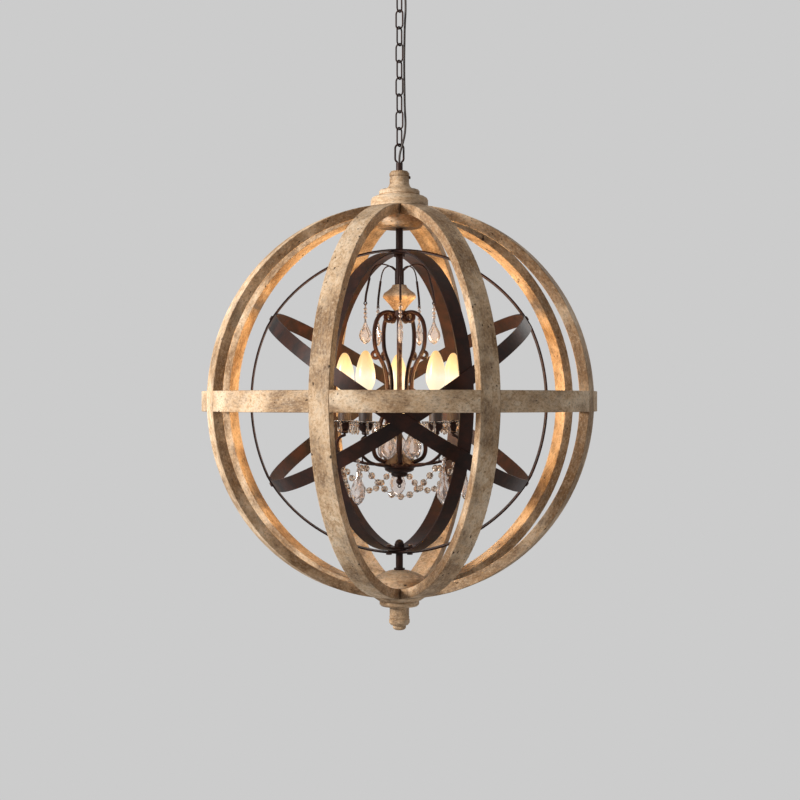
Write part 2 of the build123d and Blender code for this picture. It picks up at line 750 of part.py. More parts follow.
def arching_arms():
    """Five wires that rise from a collar on the rod and end in leaves and eyes for the upper drops."""
    leaf_end = upper_drop_pivot + 2 * ring_radius
    leaf_top = (upper_drop_radius - 8, leaf_end + 43)
    wire = [
        (collar_radius - wire_radius, collar_top - 2),
        (18, collar_top + 6.5),
        (33, collar_top + 10),
        (46, collar_top + 6),
        (upper_drop_radius - 12, collar_top - 3),
        leaf_top,
        (upper_drop_radius - 6.5, leaf_end + 36),
    ]
    leaf = [
        leaf_top,
        (upper_drop_radius - 5, leaf_end + 30),
        (upper_drop_radius - 1, leaf_end + 12),
        (upper_drop_radius, leaf_end),
    ]
    arm = radial_bar(wire, wire_radius) + radial_bar(leaf, leaf_radius)
    arm += hanging_eye(upper_drop_radius, upper_drop_pivot)
    piece = tube(collar_radius, 0, collar_bottom, collar_top)
    for azimuth in arm_azimuths:
        piece += place(azimuth) * arm
    return piece - Cylinder(hole_radius, reach)


def scroll_cage():
    """Five scrolled bars welded to a collar under the bead and to a ring low down inside."""
    top = cage_collar_top - cage_collar_height / 2
    rise = top - cage_waist_height
    upper = [
        (root_radius / 2, 1),
        (24, 1.017),
        (36, 0.987),
        (44, 0.913),
        (48, 0.8),
        (48, 0.666),
        (46, 0.573),
        (41, 0.493),
        (33, 0.413),
        (cage_waist + 3, 0.299),
        (cage_waist, 0.166),
        (cage_waist, 0),
    ]
    lower = [
        (cage_waist + 5, cage_waist_height - 25),
        (cage_belly - 12, cage_foot_height + 64),
        (cage_belly - 3, cage_foot_height + 39),
        (cage_belly, cage_foot_height + 21),
        (cage_belly - 5, cage_foot_height + 7),
        (cage_belly - 18, cage_foot_height),
        (root_radius, cage_foot_height),
    ]
    scroll = [(radius, cage_waist_height + share * rise) for radius, share in upper] + lower
    bar = radial_bar(scroll, cage_bar_radius)
    curl_wire = cage_bar_radius * 0.8
    curl_height = cage_waist_height + 0.493 * rise
    bar += Pos(20, 0, top - inner_curl_radius) * Rot(90, 0, 0) * Torus(inner_curl_radius, curl_wire)
    bar += Pos(46, 0, curl_height) * Rot(90, 0, 0) * Torus(outer_curl_radius, curl_wire)
    piece = tube(cage_collar_radius, 0, cage_collar_top - cage_collar_height, cage_collar_top)
    for azimuth in arm_azimuths:
        piece += place(azimuth) * bar
    piece += Pos(0, 0, hanging_ring_height) * Torus(hanging_ring_radius, hanging_wire)
    return piece - Cylinder(slim_hole_radius, reach)


def hub_bowl():
    """The bowl that the bars and candle arms are set in, with a petalled edge."""
    outline = [
        (hub_radius * 0.28, hub_top),
        (hub_radius * 0.42, hub_top - 3),
        (hub_radius * 0.74, hub_top - 11),
        (hub_radius * 0.94, hub_top - 17),
        (hub_radius, hub_top - 20.5),
        (hub_radius, hub_top - 23.5),
        (hub_radius * 0.84, hub_top - 26),
        (hub_radius * 0.82, hub_top - 30),
        (hub_radius * 0.66, hub_top - 33),
        (hub_step_radius, hub_top - 34.5),
        (hub_step_radius, hub_bottom + 3),
        (hub_step_radius - 4, hub_bottom),
    ]
    bowl = turned(outline)
    groove = Cylinder(petal_radius, hub_radius / 2)
    for azimuth in around(petal_count, candle_azimuth / 2):
        bowl -= spot(groove, hub_radius + petal_radius / 2, hub_top - 24, azimuth)
    mouth = Pos(root_radius - joint_gap + hub_radius / 2, 0, 0) * Rot(0, 90, 0)
    for azimuth in arm_azimuths:
        bowl -= spot(mouth * Cylinder(cage_bar_radius + bore_gap, hub_radius), 0, cage_foot_height, azimuth)
    for azimuth in candle_azimuths:
        bowl -= spot(mouth * Cylinder(bar_radius + bore_gap, hub_radius), 0, arm_root_height, azimuth)
    bowl -= tube(slim_hole_radius, 0, rod_bottom - seat_gap, hub_top + hub_radius)
    pin_hole_top = hub_bottom + finial_pin_length + seat_gap
    return bowl - tube(finial_pin_radius + bore_gap, 0, hub_bottom - petal_radius, pin_hole_top)


def hub_finial():
    """The ball and small ring under the hub, on a pin."""
    top = hub_bottom - seat_gap
    neck = tube(finial_pin_radius + 1, 0, top - 3, top)
    pin = tube(finial_pin_radius, 0, top - 3, hub_bottom + finial_pin_length)
    ball = Pos(0, 0, top - 2 - ball_radius) * Sphere(ball_radius)
    ring = Pos(0, 0, top - 2 - 2 * ball_radius - ring_radius) * Rot(90, 0, 0) * Torus(ring_radius, eye_wire)
    return neck + pin + ball + ring


def candle_arm():
    """One arm, with the stud that holds its candle, the eye for a lower drop and the hook for the swags."""
    arm = radial_bar(
        [
            (root_radius, arm_root_height),
            (candle_radius * 0.57, arm_root_height),
            (candle_radius - 10, arm_root_height + 8),
            (lower_drop_radius - 9, arm_root_height + 22),
            (lower_drop_radius - 5.5, candle_arm_end - 16),
            (candle_radius + 9, candle_arm_end - 3),
            (candle_radius, candle_arm_end),
        ],
        bar_radius,
    )
    arm += Pos(candle_radius, 0, cup_bottom - seat_gap - bar_radius) * Sphere(bar_radius)
    stud_length = stud_top - candle_arm_end
    arm += Pos(candle_radius, 0, candle_arm_end + stud_length / 2) * Cylinder(stud_radius, stud_length)
    arm += Pos(lower_drop_radius - 4, 0, lower_drop_pivot + 7) * Sphere(1.5 * bar_radius)
    arm += hanging_eye(lower_drop_radius, lower_drop_pivot)
    hook_length = 10
    arm += Pos(swag_hook_radius, 0, swag_hook_height + hook_length / 2) * Cylinder(wire_radius, hook_length)
    return arm + Pos(swag_hook_radius, 0, swag_hook_height) * Sphere(swag_hook_ball)


def candle_cup():
    """A turned cup under the drip pan."""
    outline = [
        (cup_radius * 0.36, cup_bottom),
        (cup_radius * 0.5, cup_bottom + 2),
        (cup_radius * 0.45, cup_bottom + 5),
        (cup_radius * 0.75, cup_bottom + 9),
        (cup_radius * 0.93, cup_bottom + 14),
        (cup_radius, cup_top - 2),
        (cup_radius * 0.95, cup_top),
    ]
    return turned(outline, stud_radius + bore_gap)


rim_drop_hole = rim_pin + bore_gap
pan_bottom = cup_top + seat_gap
pan_top = pan_bottom + bobeche_thickness
rim_distance = bobeche_radius - rim_drop_inset


def bobeche():
    """The glass drip pan, with holes near its rim for the fringe's pins."""
    outline = [
        (bobeche_radius - 1, pan_bottom),
        (bobeche_radius, pan_bottom + 1),
        (bobeche_radius, pan_top),
    ]
    pan = turned(outline, stud_radius + bore_gap)
    for azimuth in around(rim_drop_count, 0):
        pan -= spot(Cylinder(rim_drop_hole, 4 * bobeche_thickness), rim_distance, pan_bottom, azimuth)
    return pan


def rim_drop():
    """One small crystal of the fringe, on a headed pin."""
    top = pan_top + joint_gap
    neck = pan_bottom - 1.5
    low = neck - rim_drop_length
    outline = [
        (rim_drop_radius * 0.3, low),
        (rim_drop_radius * 0.8, low + 3.5),
        (rim_drop_radius, low + 6.5),
        (rim_drop_radius * 0.45, neck - 8),
        (rim_drop_radius * 0.4, neck - 7),
        (rim_drop_radius * 0.95, neck - 3.5),
        (rim_drop_radius * 0.4, neck),
        (rim_pin, neck),
        (rim_pin, top),
        (rim_pin * 2, top),
        (rim_pin * 2, top + rim_pin),
    ]
    return turned(outline)


candle_floor = pan_top + seat_gap
base_floor = bulb_seat - bulb_base_length


def lampholder():
    """The socket inside a candle sleeve, on its arm's stud."""
    body = tube(holder_radius, 0, candle_floor, sleeve_top - 1)
    body -= tube(bulb_base_radius + bore_gap, 0, base_floor - seat_gap, sleeve_top)
    return body - tube(stud_radius + bore_gap, 0, candle_floor - seat_gap, stud_top + seat_gap)


def bulb():
    """A candle-shaped bulb and its screw base."""
    rise = bulb_top - bulb_seat
    glass = [
        (bulb_base_radius - 0.4, bulb_seat),
        (bulb_base_radius + 1.2, bulb_seat + 0.05 * rise),
        (bulb_radius * 0.76, bulb_seat + 0.17 * rise),
        (bulb_radius * 0.95, bulb_seat + 0.29 * rise),
        (bulb_radius, bulb_seat + 0.4 * rise),
        (bulb_radius * 0.95, bulb_seat + 0.54 * rise),
        (bulb_radius * 0.79, bulb_seat + 0.71 * rise),
        (bulb_radius * 0.55, bulb_seat + 0.87 * rise),
        (bulb_radius * 0.3, bulb_seat + 0.97 * rise),
        (bulb_radius * 0.1, bulb_top),
    ]
    return turned(glass) + tube(bulb_base_radius, 0, base_floor, bulb_seat)


def candles(shape):
    """One copy of a shape on each candle's own axis."""
    return [place(azimuth, candle_radius) * shape for azimuth in candle_azimuths]


save("wooden_bead", wooden_bead())
save("arching_arms", arching_arms())
save("scroll_cage", scroll_cage())
save("hub_bowl", hub_bowl())
save("hub_finial", hub_finial())
arm_shape = candle_arm()
save("candle_arms", *[place(azimuth) * arm_shape for azimuth in candle_azimuths])
save("candle_cups", *candles(candle_cup()))
save("bobeches", *candles(bobeche()))
fringe = [spot(rim_drop(), rim_distance, 0, azimuth) for azimuth in around(rim_drop_count, 0)]
save("rim_drops", *[piece for drop in fringe for piece in candles(drop)])
save("candle_sleeves", *candles(tube(sleeve_radius, sleeve_radius - sleeve_wall, candle_floor, sleeve_top)))
save("lampholders", *candles(lampholder()))
for number, piece in enumerate(candles(bulb()), start=1):
    save(f"bulb_{number}", piece)

# ---- crystals ------------------------------------------------------------------------------------


def pear(width, height, thickness):
    """A flat faceted pear with its top at the origin, wide along Y."""
    half = width / 2
    side = thickness / 2
    face = [(0.1, 0), (0.25, 0.2), (0.78, 0.46), (1, 0.64), (0.86, 0.8), (0.5, 0.92), (0.1, 1)]
    edge = [(0.3, 0), (1, 0.5), (1, 0.72), (0.3, 1)]
    front = [(0, share * half, -part * height) for share, part in face]
    front += [(0, -y, z) for x, y, z in reversed(front)]
    flank = [(share * side, 0, -part * height) for share, part in edge]
    flank += [(-x, 0, z) for x, y, z in reversed(flank)]
    broad = extrude(make_face(Polyline(*front, close=True)), amount=width, both=True)
    return broad & extrude(make_face(Polyline(*flank, close=True)), amount=width, both=True)


def hanging_drop(sizes, bead_count, wire, ring_turn, pear_turn, seam_turn=0):
    """A ring that hangs on a wire at the origin, a string of beads and a pear."""
    centre = wire - ring_drop
    turn = Rot(0, 0, ring_turn) * Rot(0, 90, 0) * Rot(0, 0, seam_turn)
    ring = Pos(0, 0, centre) * turn * Torus(ring_radius, ring_wire)
    ring_foot = centre - ring_radius
    beads = [ring_foot - (index + 0.65) * bead_step for index in range(bead_count)]
    pear_top = ring_foot - (bead_count + 0.15) * bead_step - pear_neck
    string = tube(ring_wire, 0, pear_top - 1, ring_foot)
    drop = ring + string + Pos(0, 0, pear_top) * Rot(0, 0, pear_turn) * pear(*sizes)
    for height in beads:
        drop += Pos(0, 0, height) * Sphere(small_bead)
    return drop


def bead_swag():
    """Round beads on a wire between two neighbouring hooks, hanging in a shallow V."""
    half = swag_hook_radius * sin(pi / arm_count)
    start = swag_hook_ball + seat_gap
    right = [
        (0.19 * half, -0.96 * swag_sag),
        (0.5 * half, -0.68 * swag_sag),
        (0.82 * half, -0.27 * swag_sag),
        (half - start, -0.02 * swag_sag),
    ]
    left = [(-x, z) for x, z in reversed(right)]
    path_points = [(0, x, z) for x, z in left + right]
    path = FilletPolyline(*path_points, radius=bend_radii(path_points))
    swag = bent_bar(path_points, swag_wire)
    margin = (swag_margin - start) / path.length
    for index in range(swag_bead_count):
        share = margin + (1 - 2 * margin) * index / (swag_bead_count - 1)
        swag += Pos(*(path @ share)) * Sphere(swag_bead)
    return swag


upper_drop = hanging_drop(upper_pear, upper_bead_count, eye_wire, 0, 90)
lower_drop = hanging_drop(lower_pear, lower_bead_count, eye_wire, 0, 0)
# With its seam where the ring meets the string, the kernel takes this drop to be inside the cage.
inner_drop = hanging_drop(inner_pear, 0, hanging_wire, 90, 0, seam_turn=90)
for number, azimuth in enumerate(arm_azimuths, start=1):
    save(f"upper_drop_{number}", spot(upper_drop, upper_drop_radius, upper_drop_pivot, azimuth))
for number, azimuth in enumerate(candle_azimuths, start=1):
    save(f"lower_drop_{number}", spot(lower_drop, lower_drop_radius, lower_drop_pivot, azimuth))
save("inner_drops", *[spot(inner_drop, hanging_ring_radius, hanging_ring_height, a) for a in candle_azimuths])
swag_distance = swag_hook_radius * cos(pi / arm_count)
save("bead_swags", *[spot(bead_swag(), swag_distance, swag_hook_height, a) for a in arm_azimuths])
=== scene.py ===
import json
from math import cos, pi, radians, sin

import bmesh
import bpy
from mathutils import Matrix, Vector

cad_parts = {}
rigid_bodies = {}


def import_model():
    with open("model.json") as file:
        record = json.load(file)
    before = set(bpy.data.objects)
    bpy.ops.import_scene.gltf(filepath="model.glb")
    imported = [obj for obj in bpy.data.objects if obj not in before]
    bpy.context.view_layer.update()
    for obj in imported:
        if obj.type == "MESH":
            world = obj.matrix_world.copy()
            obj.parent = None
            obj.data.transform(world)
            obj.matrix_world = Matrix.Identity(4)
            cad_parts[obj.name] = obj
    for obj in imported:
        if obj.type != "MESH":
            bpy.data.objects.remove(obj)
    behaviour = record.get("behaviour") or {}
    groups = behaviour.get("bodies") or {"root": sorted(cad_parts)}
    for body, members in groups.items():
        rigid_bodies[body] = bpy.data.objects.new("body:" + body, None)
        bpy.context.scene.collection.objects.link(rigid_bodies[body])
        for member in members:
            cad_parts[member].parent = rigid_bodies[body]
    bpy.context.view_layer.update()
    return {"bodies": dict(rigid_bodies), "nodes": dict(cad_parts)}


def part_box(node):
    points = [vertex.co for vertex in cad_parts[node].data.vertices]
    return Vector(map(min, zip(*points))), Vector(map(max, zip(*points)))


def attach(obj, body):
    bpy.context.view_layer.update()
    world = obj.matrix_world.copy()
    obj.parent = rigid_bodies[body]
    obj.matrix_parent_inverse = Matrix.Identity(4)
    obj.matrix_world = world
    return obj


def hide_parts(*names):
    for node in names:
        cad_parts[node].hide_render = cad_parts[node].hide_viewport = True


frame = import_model()
nodes = frame["nodes"]
bodies = frame["bodies"]

# Metres, +Z up. The orb's centre hangs under the ceiling, which is at z = 0.
low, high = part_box("equator_ring")
CENTRE = Vector((0, 0, (low[2] + high[2]) / 2))
ORB = high[0]
MM = 0.001
RIBS = 8
FIVE = range(5)
FIFTH = 72              # degrees between neighbours of a family of five
CANDLE_TURN = 36        # the candles stand between the arching arms

# Wood: how long the grain is drawn out, and how fine each layer of noise is.
TURNING_GIRTH = 30 * MM  # the grain of the turned pieces is laid out as round this radius
GRAIN_STRETCH = 0.16
CLOUD_STRETCH = 0.7
GRAIN_SCALE = 330
CLOUD_SCALE = 15
BLOTCH_SCALE = 58
SPECKLE_SCALE = 300
PORE_SCALE = 150
WORN_FROM = 0.472

LIME_DEEP = (0.66, 0.52, 0.38)
LIME_MIDDLE = (0.82, 0.70, 0.565)
LIME_PALE = (0.93, 0.84, 0.73)
BARE_DEEP = (0.29, 0.19, 0.11)
BARE_MIDDLE = (0.48, 0.35, 0.22)
BARE_PALE = (0.62, 0.48, 0.33)
PIN_HOLE = (0.16, 0.10, 0.065)


# ---- node helpers ----------------------------------------------------------------------------
class Nodes:
    """Builds one material's node tree."""

    def __init__(self, name):
        self.material = bpy.data.materials.new(name)
        self.material.use_nodes = True
        self.tree = self.material.node_tree
        self.shader = self.tree.nodes["Principled BSDF"]

    def put(self, socket, value):
        if isinstance(value, bpy.types.NodeSocket):
            self.tree.links.new(value, socket)
        else:
            socket.default_value = value

    def add(self, kind, settings=None, **inputs):
        node = self.tree.nodes.new(kind)
        for key, value in (settings or {}).items():
            setattr(node, key, value)
        for key, value in inputs.items():
            self.put(node.inputs[key.replace("_", " ")], value)
        return node

    def math(self, operation, first, second=0.0, third=0.0, clamp=False):
        node = self.tree.nodes.new("ShaderNodeMath")
        node.operation = operation
        node.use_clamp = clamp
        for socket, value in zip(node.inputs, (first, second, third)):
            self.put(socket, value)
        return node.outputs[0]

    def noise(self, vector, scale, detail=4.0, rough=0.55, distortion=0.0):
        node = self.add("ShaderNodeTexNoise", None, Vector=vector, Scale=scale, Detail=detail)
        node.inputs["Roughness"].default_value = rough
        node.inputs["Distortion"].default_value = distortion
        return node.outputs["Fac"]

    def ramp(self, value, stops):
        node = self.tree.nodes.new("ShaderNodeValToRGB")
        elements = node.color_ramp.elements
        while len(elements) > 1:
            elements.remove(elements[-1])
        elements[0].position, elements[0].color = stops[0][0], colour(stops[0][1])
        for position, shade in stops[1:]:
            elements.new(position).color = colour(shade)
        self.put(node.inputs[0], value)
        return node.outputs[0]

    def mix(self, share, first, second, blend="MIX"):
        node = self.tree.nodes.new("ShaderNodeMix")
        node.data_type = "RGBA"
        node.blend_type = blend
        self.put(node.inputs[0], share)
        self.put(node.inputs[6], colour(first))
        self.put(node.inputs[7], colour(second))
        return node.outputs[2]

    def centred(self, turn=0.0):
        """Object coordinates from the orb's centre, turned about the axis so that X is the radius."""
        source = self.tree.nodes.new("ShaderNodeTexCoord").outputs["Object"]
        moved = self.add("ShaderNodeVectorMath", {"operation": "SUBTRACT"})
        self.put(moved.inputs[0], source)
        moved.inputs[1].default_value = CENTRE
        rotate = self.add("ShaderNodeVectorRotate", {"rotation_type": "Z_AXIS"}, Angle=turn)
        self.put(rotate.inputs["Vector"], moved.outputs[0])
        return rotate.outputs[0]

    def split(self, vector):
        return self.add("ShaderNodeSeparateXYZ", None, Vector=vector).outputs

    def join(self, x, y, z):
        return self.add("ShaderNodeCombineXYZ", None, X=x, Y=y, Z=z).outputs[0]

    def bump(self, height, strength, distance=0.001):
        node = self.add("ShaderNodeBump", None, Height=height, Strength=strength, Distance=distance)
        self.put(self.shader.inputs["Normal"], node.outputs[0])


def colour(value):
    """An sRGB triple from 0 to 1 as linear RGBA; sockets pass through."""
    if isinstance(value, bpy.types.NodeSocket):
        return value
    if isinstance(value, (int, float)):
        return (value, value, value, 1)
    linear = [v / 12.92 if v <= 0.04045 else ((v + 0.055) / 1.055) ** 2.4 for v in value[:3]]
    return (*linear, 1)


def finish_node(names, material):
    """Give CAD nodes a material."""
    for name in names:
        data = nodes[name].data
        data.materials.clear()
        data.materials.append(material)


# ---- materials -------------------------------------------------------------------------------
def wood(name, kind, turn=0.0, patina=0.0):
    """Limed, distressed wood, its sides and undersides darker with wear and painted shade. The grain
    follows the slat, the ring or the turned piece.
    """
    n = Nodes(name)
    vector = n.centred(turn)
    x, y, z = n.split(vector)
    normal = n.add("ShaderNodeVectorRotate", {"rotation_type": "Z_AXIS"}, Angle=turn)
    n.put(normal.inputs["Vector"], n.tree.nodes.new("ShaderNodeTexCoord").outputs["Normal"])
    _, ny, nz = n.split(normal.outputs[0])
    flat_radius = n.math("SQRT", n.math("ADD", n.math("MULTIPLY", x, x), n.math("MULTIPLY", y, y)))
    # flank measures how far a face turns to the side (on a turned piece, how far it faces down). It is
    # added to the wear below, so these faces show barer, darker wood: partly wear, partly painted shade.
    if kind == "slat":
        along = n.math("MULTIPLY", n.math("ARCTAN2", x, z), ORB)
        across = y
        reach = n.math("SQRT", n.math("ADD", n.math("MULTIPLY", x, x), n.math("MULTIPLY", z, z)))
        side_wear_and_painted_shade = n.math("ABSOLUTE", ny)
    elif kind == "ring":
        along = n.math("MULTIPLY", n.math("ARCTAN2", y, x), ORB)
        across = z
        reach = flat_radius
        side_wear_and_painted_shade = n.math("ABSOLUTE", nz)
    else:
        along = n.math("MULTIPLY", n.math("ARCTAN2", y, x), TURNING_GIRTH)
        across = z
        reach = flat_radius
        side_wear_and_painted_shade = n.math("MAXIMUM", n.math("MULTIPLY", nz, -1.0), 0.0)
    offset = 0.37 * turn
    grain_space = n.join(n.math("MULTIPLY_ADD", along, GRAIN_STRETCH, offset), across, reach)
    cloud_space = n.join(n.math("MULTIPLY_ADD", along, CLOUD_STRETCH, offset), across, reach)
    grain = n.noise(grain_space, GRAIN_SCALE, 5, 0.65)
    cloud = n.noise(cloud_space, CLOUD_SCALE, 4, 0.55, 0.3)
    blotch = n.noise(cloud_space, BLOTCH_SCALE, 8, 0.78, 0.4)
    speckle = n.noise(cloud_space, SPECKLE_SCALE, 5, 0.75)
    pore = n.noise(cloud_space, PORE_SCALE, 1, 0.5)
    lime = n.ramp(blotch, [(0.34, LIME_DEEP), (0.47, LIME_MIDDLE), (0.60, LIME_PALE)])
    bare = n.ramp(grain, [(0.3, BARE_DEEP), (0.5, BARE_MIDDLE), (0.72, BARE_PALE)])
    wear_and_side_shade = n.math("MULTIPLY_ADD", cloud, 0.55, n.math("MULTIPLY", blotch, 0.45))
    # Sides and undersides wear through sooner here: partly real wear, partly painted shade.
    wear_and_side_shade = n.math("MULTIPLY_ADD", side_wear_and_painted_shade, 0.045, wear_and_side_shade)
    worn_and_side_shaded = n.math("SUBTRACT", wear_and_side_shade, WORN_FROM - 0.03 * patina, clamp=True)
    wear_and_side_shade_share = n.math("MULTIPLY", worn_and_side_shaded, 10.0, clamp=True)
    base = n.mix(n.math("MULTIPLY", wear_and_side_shade_share, 0.8), lime, bare)
    dust = n.math("MULTIPLY", n.math("SUBTRACT", speckle, 0.51, clamp=True), 6.5, clamp=True)
    base = n.mix(n.math("MULTIPLY", dust, 0.55), base, BARE_DEEP)
    chalk = n.math("MULTIPLY", n.math("SUBTRACT", 0.46, speckle, clamp=True), 6.5, clamp=True)
    base = n.mix(n.math("MULTIPLY", chalk, 0.5), base, LIME_PALE)
    holes = n.math("MULTIPLY", n.math("SUBTRACT", pore, 0.735, clamp=True), 30.0, clamp=True)
    base = n.mix(n.math("MULTIPLY", holes, 0.85), base, PIN_HOLE)
    n.put(n.shader.inputs["Base Color"], base)
    n.put(n.shader.inputs["Roughness"], n.math("MULTIPLY_ADD", grain, 0.25, 0.58))
    n.shader.inputs["Specular IOR Level"].default_value = 0.2
    relief = n.math("MULTIPLY_ADD", speckle, 0.6, n.math("MULTIPLY", blotch, 0.5))
    n.bump(n.math("SUBTRACT", relief, holes), 0.6, 0.0012)
    return n.material


def iron(name, dark=(0.11, 0.055, 0.04), light=(0.23, 0.115, 0.075), metal=0.2, rough=0.48):
    """Oil-rubbed dark iron: mottled brown-black with rubbed paler flecks."""
    n = Nodes(name)
    vector = n.centred()
    cloud = n.noise(vector, 38, 6, 0.62, 0.3)
    fleck = n.noise(vector, 260, 5, 0.68)
    hammer = n.noise(vector, 90, 2, 0.4)
    base = n.mix(n.ramp(cloud, [(0.4, 0.0), (0.75, 1.0)]), dark, light)
    rub = n.math("MULTIPLY", n.math("SUBTRACT", fleck, 0.62, clamp=True), 6.0, clamp=True)
    base = n.mix(n.math("MULTIPLY", rub, 0.35), base, (0.40, 0.27, 0.21))
    n.put(n.shader.inputs["Base Color"], base)
    n.shader.inputs["Metallic"].default_value = metal
    n.put(n.shader.inputs["Roughness"], n.math("MULTIPLY_ADD", fleck, 0.3, rough - 0.13))
    n.shader.inputs["Specular IOR Level"].default_value = 0.25
    n.bump(n.math("MULTIPLY_ADD", hammer, 0.7, n.math("MULTIPLY", fleck, 0.3)), 0.25, 0.0008)
    return n.material


def plated(name, base, rough=0.3):
    """Plated metal with fine brushing."""
    n = Nodes(name)
    x, y, z = n.split(n.centred())
    lines = n.noise(n.join(x, y, n.math("MULTIPLY", z, 12.0)), 300, 4, 0.6)
    brushed = n.mix(n.math("MULTIPLY", lines, 0.5), base, [v * 0.7 for v in base])
    n.put(n.shader.inputs["Base Color"], brushed)
    n.shader.inputs["Metallic"].default_value = 1.0
    n.put(n.shader.inputs["Roughness"], n.math("MULTIPLY_ADD", lines, 0.25, rough - 0.1))
    n.bump(lines, 0.12, 0.0004)
    return n.material


def plastic(name, dark, light, rough):
    """Moulded or dipped surface with faint mottling."""
    n = Nodes(name)
    vector = n.centred()
    cloud = n.noise(vector, 60, 5, 0.6)
    grit = n.noise(vector, 700, 3, 0.6)
    n.put(n.shader.inputs["Base Color"], n.mix(cloud, dark, light))
    n.put(n.shader.inputs["Roughness"], n.math("MULTIPLY_ADD", grit, 0.2, rough - 0.1))
    n.bump(grit, 0.15, 0.0004)
    return n.material


def crystal(name, clear=0.93, tint=(0.98, 0.94, 0.92), rough=0.03):
    """Cut glass with faint veils and small bubbles."""
    n = Nodes(name)
    vector = n.centred()
    veil = n.noise(vector, 90, 4, 0.6, 1.2)
    bubble = n.noise(vector, 260, 2, 0.5)
    n.put(n.shader.inputs["Base Color"], n.mix(veil, tint, [v * 0.93 for v in tint]))
    n.put(n.shader.inputs["Transmission Weight"], n.math("MULTIPLY_ADD", veil, 0.12, clear - 0.06))
    n.shader.inputs["IOR"].default_value = 1.6
    n.put(n.shader.inputs["Roughness"], n.math("MULTIPLY_ADD", bubble, 0.04, rough - 0.02))
    n.bump(veil, 0.12, 0.0008)
    return n.material


def lit_glass(name):
    """The glow of a frosted warm bulb, whitest low down around its filament and golden at its tip."""
    n = Nodes(name)
    x, y, z = n.split(n.centred())
    frost = n.noise(n.centred(), 90, 3, 0.5)
    share = n.math("MULTIPLY_ADD", frost, 0.12, n.math("MULTIPLY", z, 9.0))
    glow = n.ramp(share, [
        (0.12, (0.98, 0.70, 0.36)),
        (0.24, (1.0, 0.95, 0.80)),
        (0.44, (1.0, 0.97, 0.86)),
        (0.62, (0.99, 0.89, 0.66)),
        (0.84, (0.93, 0.76, 0.48)),
    ])
    n.put(n.shader.inputs["Base Color"], n.mix(frost, (0.5, 0.42, 0.32), (0.55, 0.45, 0.33)))
    n.put(n.shader.inputs["Emission Color"], glow)
    n.shader.inputs["Emission Strength"].default_value = 0.95
    n.put(n.shader.inputs["Roughness"], n.math("MULTIPLY_ADD", frost, 0.2, 0.15))
    return n.material


for number in range(1, RIBS + 1):
    azimuth = 360 / RIBS * (number - 0.5)
    slat_wood = wood(f"whitewashed_slat_{number}", "slat", radians(90 - azimuth))
    finish_node([f"rib_{number}"], slat_wood)
finish_node(["equator_ring"], wood("whitewashed_ring", "ring"))
turned_wood = wood("whitewashed_turning", "turned", 0.0, 0.4)
finish_node([
    "top_finial", "top_hub_block", "bottom_hub_block", "bottom_finial", "wooden_bead",
], turned_wood)

dark_iron = iron("oil_rubbed_iron")
finish_node([
    "cross_hoop", "inner_hoop_1", "inner_hoop_2", "tilted_hoop_1", "tilted_hoop_2", "pole_plate",
    "dome_nut", "rod_nut", "main_rod", "lower_rod", "fixture_loop", "arching_arms", "scroll_cage",
    "hub_bowl", "hub_finial", "candle_arms", "candle_cups", "canopy", "canopy_loop", "chain_links",
], dark_iron)
rubbed_iron = iron("rubbed_screw_iron", (0.26, 0.2, 0.18), (0.4, 0.32, 0.28), 0.7, 0.36)
finish_node(["hoop_screws"], rubbed_iron)
zinc = plated("zinc_plate", (0.72, 0.72, 0.71))
finish_node(["crossbar", "nipple_nuts", "canopy_nipple"], zinc)
finish_node(["supply_cord"], plastic("cord_sheath", (0.16, 0.12, 0.1), (0.22, 0.17, 0.14), 0.5))
finish_node(["candle_sleeves"], plastic("candle_sleeve", (0.17, 0.13, 0.115), (0.24, 0.19, 0.165), 0.5))
finish_node(["lampholders"], plastic("phenolic_holder", (0.1, 0.085, 0.075), (0.14, 0.12, 0.1), 0.45))
cut_glass = crystal("cut_crystal", 0.88)
bead_glass = crystal("bead_crystal", 0.95, (0.96, 0.88, 0.80))
dish_glass = crystal("dish_glass", 0.95, (0.97, 0.93, 0.90))
pin_metal = plated("nickel_wire", (0.62, 0.52, 0.44), 0.32)
base_metal = plated("brass_screw_base", (0.72, 0.60, 0.40), 0.35)
warm_bulb = lit_glass("warm_bulb_glass")


